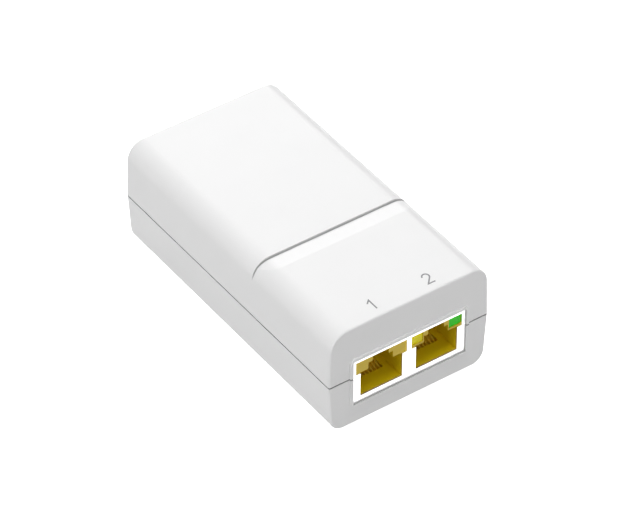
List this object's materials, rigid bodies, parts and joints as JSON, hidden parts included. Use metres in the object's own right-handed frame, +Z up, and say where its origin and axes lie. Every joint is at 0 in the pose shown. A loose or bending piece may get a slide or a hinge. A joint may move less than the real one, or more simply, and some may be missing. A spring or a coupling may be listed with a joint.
{
  "type": "power over ethernet injector",
  "caption": "Small white two-part plastic case with a shielded pair of network sockets in front, a mains inlet behind and a supply board inside.",
  "frame": {"origin": "middle of the bounding box at its lowest face, where the feet stand", "axes": "+X across the width to the right of someone facing the ports, +Y from the ports to the mains inlet, +Z up"},
  "size_m": [0.046, 0.0864, 0.0306],
  "materials": {
    "case_white": "fine satin moulded plastic",
    "foot_rubber": "matte rubber",
    "screw_steel": "zinc plated",
    "shield_tin": "bright tin plated sheet",
    "jack_plastic": "satin moulded plastic",
    "carrier_plastic": "satin moulded plastic",
    "contact_gold": "gold plated wire",
    "lens_yellow": "translucent lens",
    "lens_green": "translucent lens",
    "tinned_lead": "tinned wire",
    "inlet_black": "moulded thermoplastic",
    "pin_metal": "nickel plated brass",
    "board_green": "glass epoxy with solder mask",
    "film_yellow": "moulded box",
    "fuse_brown": "moulded box",
    "package_black": "moulded epoxy",
    "package_white": "moulded epoxy",
    "varistor_blue": "dipped epoxy",
    "disc_orange": "dipped epoxy",
    "can_black": "sleeved aluminium can",
    "ferrite": "sintered ferrite",
    "copper_wire": "enamelled copper",
    "bobbin_plastic": "moulded phenolic",
    "winding_tape": "polyester tape over copper",
    "sink_aluminium": "mill finish sheet"
  },
  "bodies": {
    "case": {"upper_shell": "case_white", "lower_shell": "case_white", "rubber_feet": "foot_rubber", "case_screws": "screw_steel", "transistor_screw": "screw_steel", "jack_shield": "shield_tin", "jack_housing_1": "jack_plastic", "jack_housing_2": "jack_plastic", "contact_carrier_1": "carrier_plastic", "contact_carrier_2": "carrier_plastic", "contact_leads_1": "contact_gold", "contact_leads_2": "contact_gold", "yellow_led": "lens_yellow", "green_led": "lens_green", "led_leads": "tinned_lead", "component_leads": "tinned_lead", "inlet_housing": "inlet_black", "line_pin": "pin_metal", "neutral_pin": "pin_metal", "earth_pin": "pin_metal", "main_board": "board_green", "x_capacitor": "film_yellow", "fuse": "fuse_brown", "bridge_rectifier": "package_black", "output_diode": "package_black", "optocoupler": "package_white", "lan_magnetics": "package_black", "varistor": "varistor_blue", "y_capacitor": "disc_orange", "bulk_capacitor": "can_black", "output_capacitor_1": "can_black", "output_capacitor_2": "can_black", "primary_controller": "package_black", "port_controller": "package_black", "choke_core": "ferrite", "choke_windings": "copper_wire", "transformer_core": "ferrite", "transformer_bobbin": "bobbin_plastic", "transformer_winding": "winding_tape", "heat_sink": "sink_aluminium", "switch_transistor": "package_black"},
    "port_1_contacts": {"contact_springs_1": "contact_gold"},
    "port_2_contacts": {"contact_springs_2": "contact_gold"}
  },
  "joints": [
    {"name": "port_1_contact_flex", "type": "hinge", "parent": "case", "child": "port_1_contacts", "pos_m": [-0.008, -0.0371, 0.00792], "axis": [-1, 0, 0], "range_deg": [0, 9], "stiffness_Nm_per_rad": 0.3},
    {"name": "port_2_contact_flex", "type": "hinge", "parent": "case", "child": "port_2_contacts", "pos_m": [0.008, -0.0371, 0.00792], "axis": [-1, 0, 0], "range_deg": [0, 9], "stiffness_Nm_per_rad": 0.3}
  ]
}
